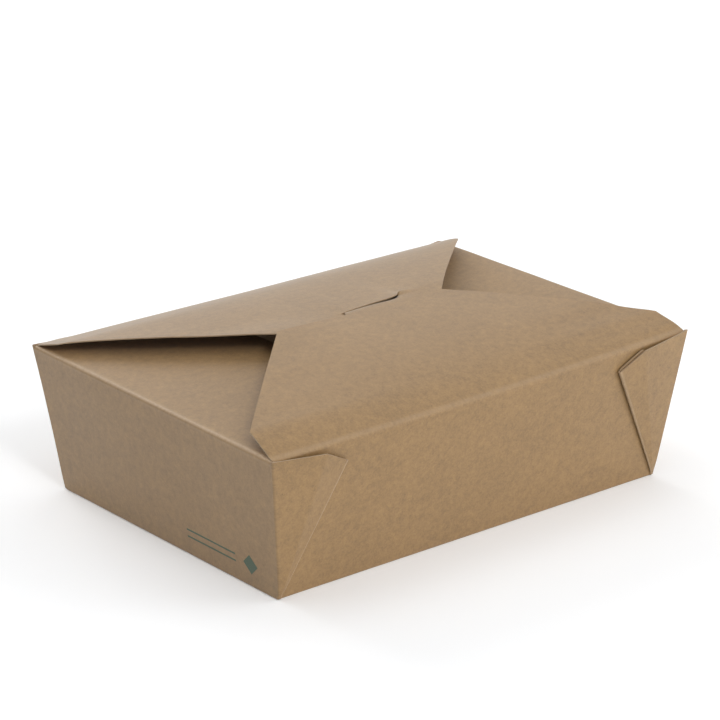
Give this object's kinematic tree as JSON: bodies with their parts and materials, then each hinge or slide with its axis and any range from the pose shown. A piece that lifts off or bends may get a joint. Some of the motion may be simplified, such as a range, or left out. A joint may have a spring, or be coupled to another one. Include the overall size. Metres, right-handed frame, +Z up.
{
  "type": "takeaway box",
  "caption": "Folded kraft-board takeaway box: flared rectangular tray with web corners and a tuck-lock lid whose front flap swings open.",
  "frame": {"origin": "middle of the base, on the surface that the box stands on", "axes": "+X along the long side, +Y from the opening front flap's crease towards the back, +Z up"},
  "size_m": [0.2156, 0.156, 0.0733],
  "materials": {
    "kraft_board": "matt uncoated brown kraft outside"
  },
  "bodies": {
    "carton": {"carton": "kraft_board"},
    "front_flap": {"front_flap": "kraft_board"}
  },
  "joints": [
    {"name": "front_flap_hinge", "type": "hinge", "parent": "carton", "child": "front_flap", "pos_m": [0, -0.07558, 0.06128], "axis": [1, 0, 0], "range_deg": [0, 178]}
  ]
}
